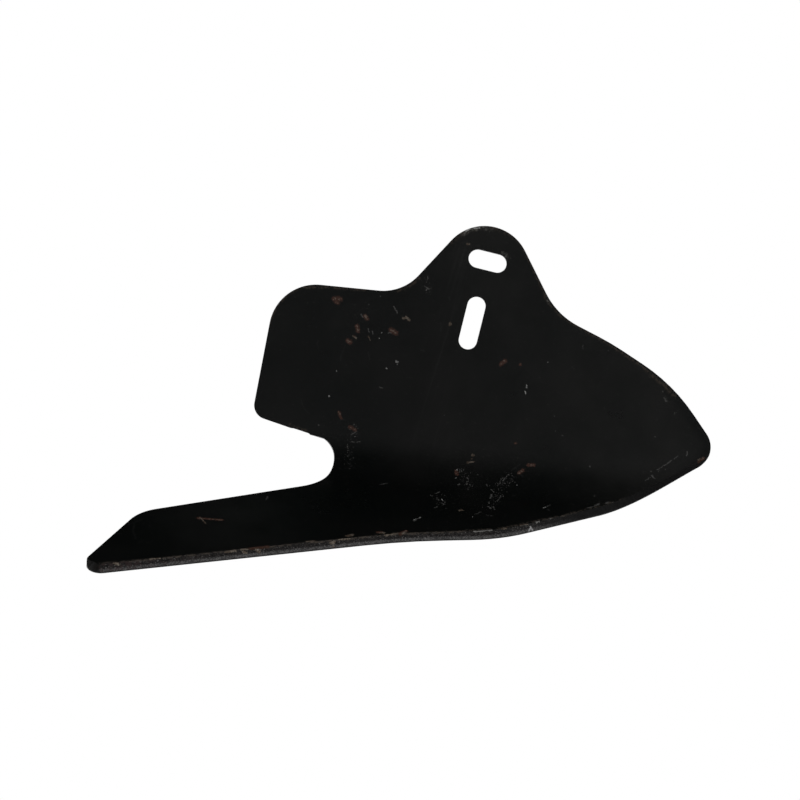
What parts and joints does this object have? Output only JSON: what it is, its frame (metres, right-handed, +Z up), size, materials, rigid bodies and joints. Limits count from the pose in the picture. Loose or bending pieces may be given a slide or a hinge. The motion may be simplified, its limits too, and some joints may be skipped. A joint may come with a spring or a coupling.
{
  "type": "hoeing blade",
  "caption": "Bent steel hoeing blade: upright slotted web with a curved front edge and a swept, bevel-ground wing folded out of its foot.",
  "frame": {"origin": "on the back face of the web, midway between the two bolt slots", "axes": "+X toward the nose, +Z up along the web, +Y out of the back face of the web; the wing folds toward -Y"},
  "size_m": [0.3567, 0.1293, 0.1981],
  "materials": {
    "black_paint": "satin black paint on steel, lightly scratched, with small rust specks and a rough ground bevel"
  },
  "bodies": {
    "root": {"blade": "black_paint"}
  },
  "joints": []
}
